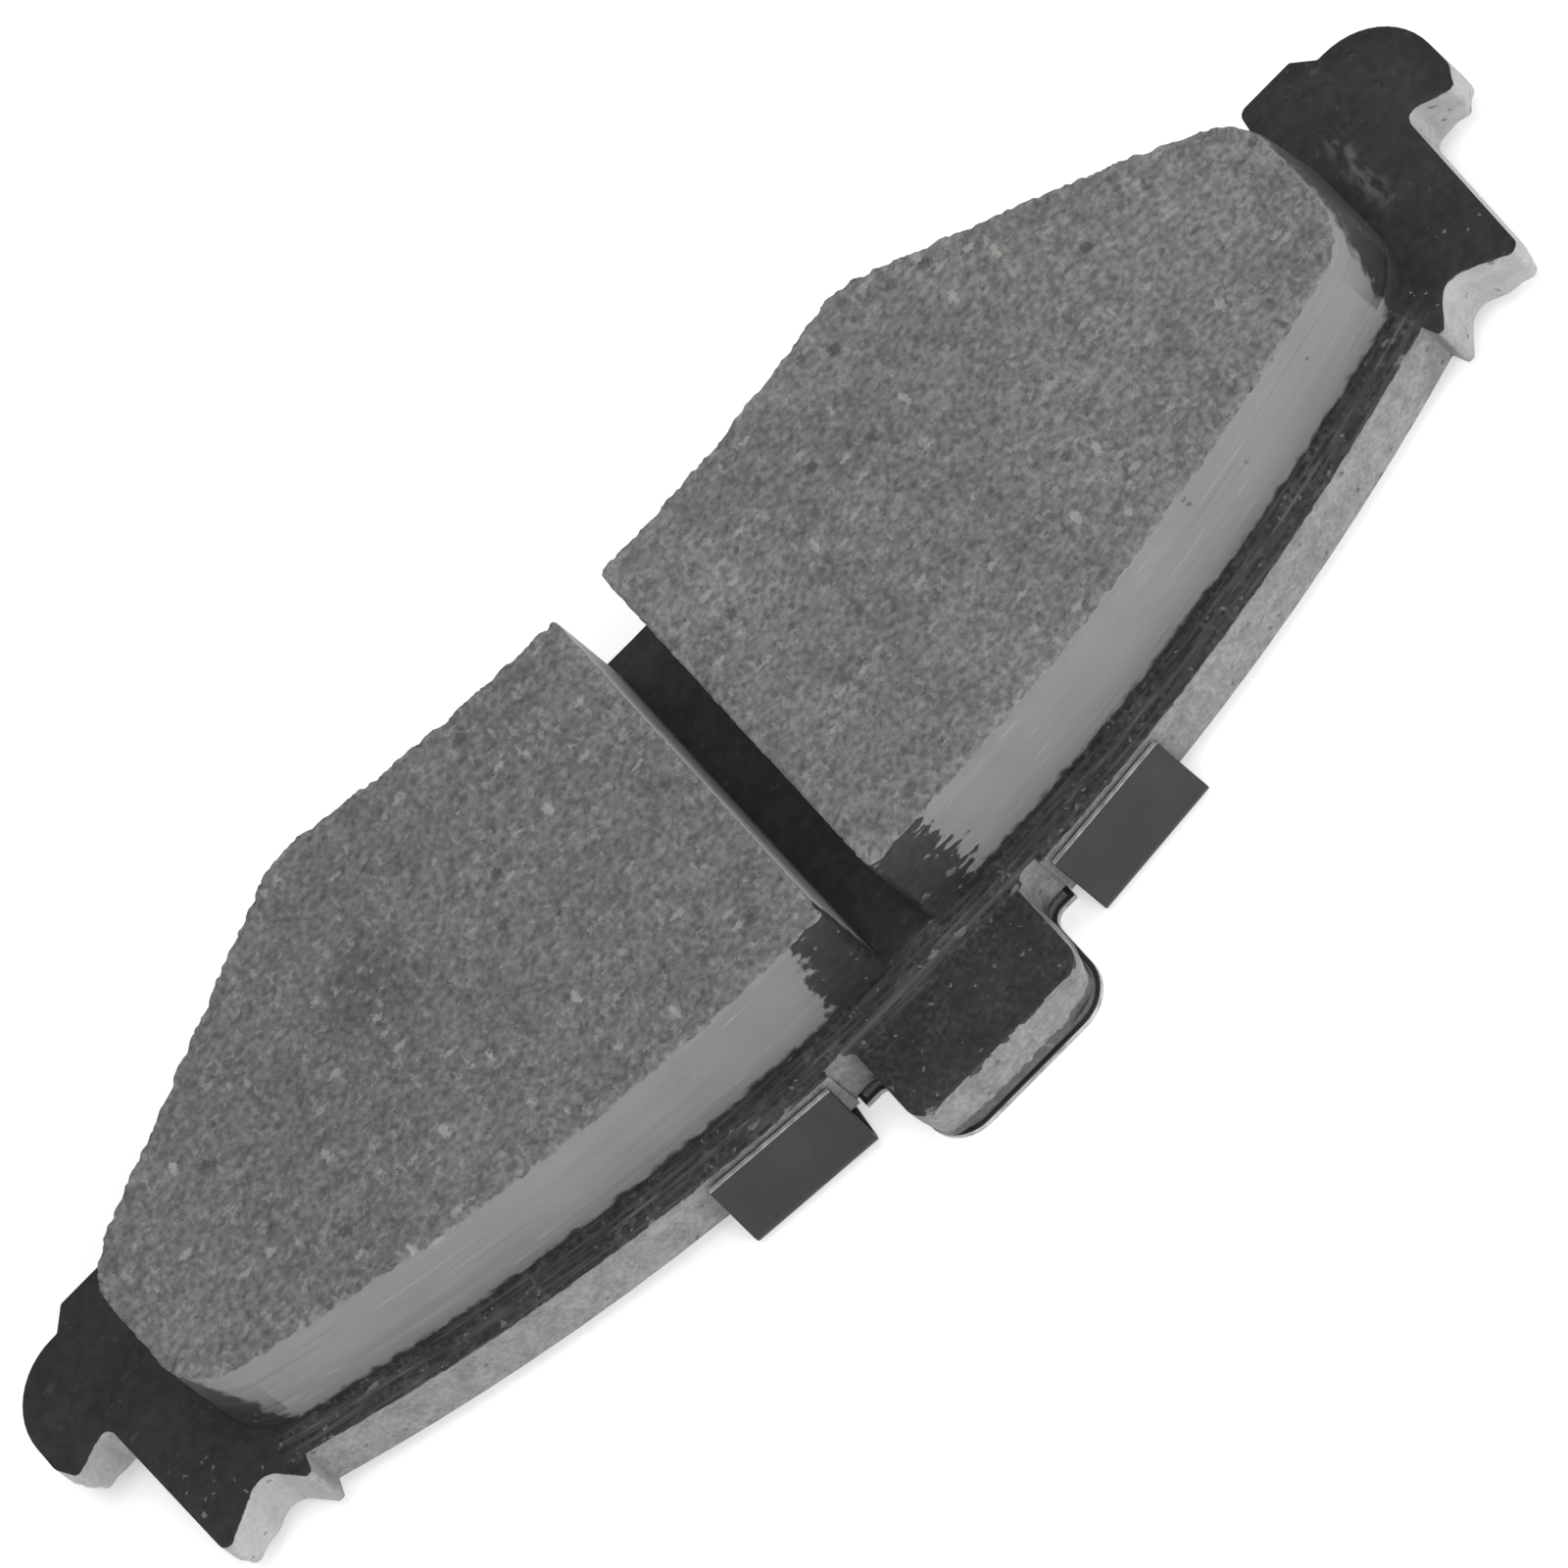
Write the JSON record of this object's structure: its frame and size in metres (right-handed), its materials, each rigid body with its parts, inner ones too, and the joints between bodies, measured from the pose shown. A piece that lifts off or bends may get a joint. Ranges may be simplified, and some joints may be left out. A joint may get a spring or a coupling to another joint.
{
  "type": "disc brake pad",
  "caption": "Disc brake pad with a hook-eared steel backing plate, friction blocks parted by a slot, a central lug and a clip-on noise shim.",
  "frame": {"origin": "on the shim's back face, under the middle of the backing plate, where the caliper presses", "axes": "+X along the pad from ear to ear, -Y towards the outer edge with the lug, +Z out of the friction face towards the disc"},
  "size_m": [0.15, 0.0554, 0.0175],
  "materials": {
    "black_paint": "satin",
    "bare_steel": "sheared edge",
    "friction": "rough, speckled with metal chips",
    "underlayer": "matt, moulded",
    "bond": "cured film",
    "damping_rubber": "matt",
    "shim_coating": "satin rubber-coated steel"
  },
  "bodies": {
    "root": {"backing_plate": "black_paint", "adhesive_film_left": "bond", "adhesive_film_right": "bond", "underlayer_left": "underlayer", "underlayer_right": "underlayer", "friction_block_left": "friction", "friction_block_right": "friction", "shim_plate": "shim_coating", "shim_damping_layer": "damping_rubber", "shim_adhesive": "bond"}
  },
  "joints": []
}
